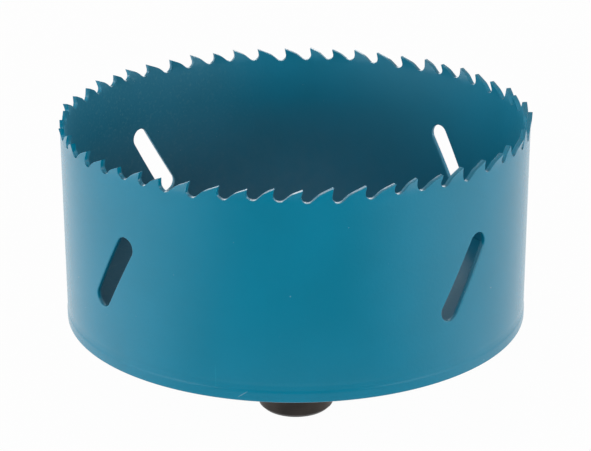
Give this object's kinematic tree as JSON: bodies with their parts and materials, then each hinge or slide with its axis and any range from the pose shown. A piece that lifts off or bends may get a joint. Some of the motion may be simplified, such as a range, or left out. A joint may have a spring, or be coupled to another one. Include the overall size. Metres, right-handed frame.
{
  "type": "hole saw",
  "caption": "Round cup saw with a toothed rim, slanted clearing slots and a quick-change adaptor on its back disc.",
  "frame": {"origin": "centre of the adaptor's end face, which the saw stands on", "axes": "+Z along the saw's axis, from the adaptor's end face towards the tooth tips; seen from above, the teeth point anticlockwise"},
  "size_m": [0.1058, 0.1061, 0.0721],
  "materials": {
    "cup_paint": "semi-gloss teal paint on bi-metal steel strip",
    "disc_paint": "semi-gloss teal paint on steel disc",
    "black_oxide": "satin black oxide on turned steel",
    "ground_steel": "ground bright steel",
    "plated_steel": "zinc plated"
  },
  "bodies": {
    "root": {"toothed_shell": "cup_paint", "back_disc": "disc_paint", "quick_change_adaptor": "black_oxide", "drive_pins": "ground_steel", "lock_washer": "plated_steel", "lock_nut": "plated_steel"}
  },
  "joints": []
}
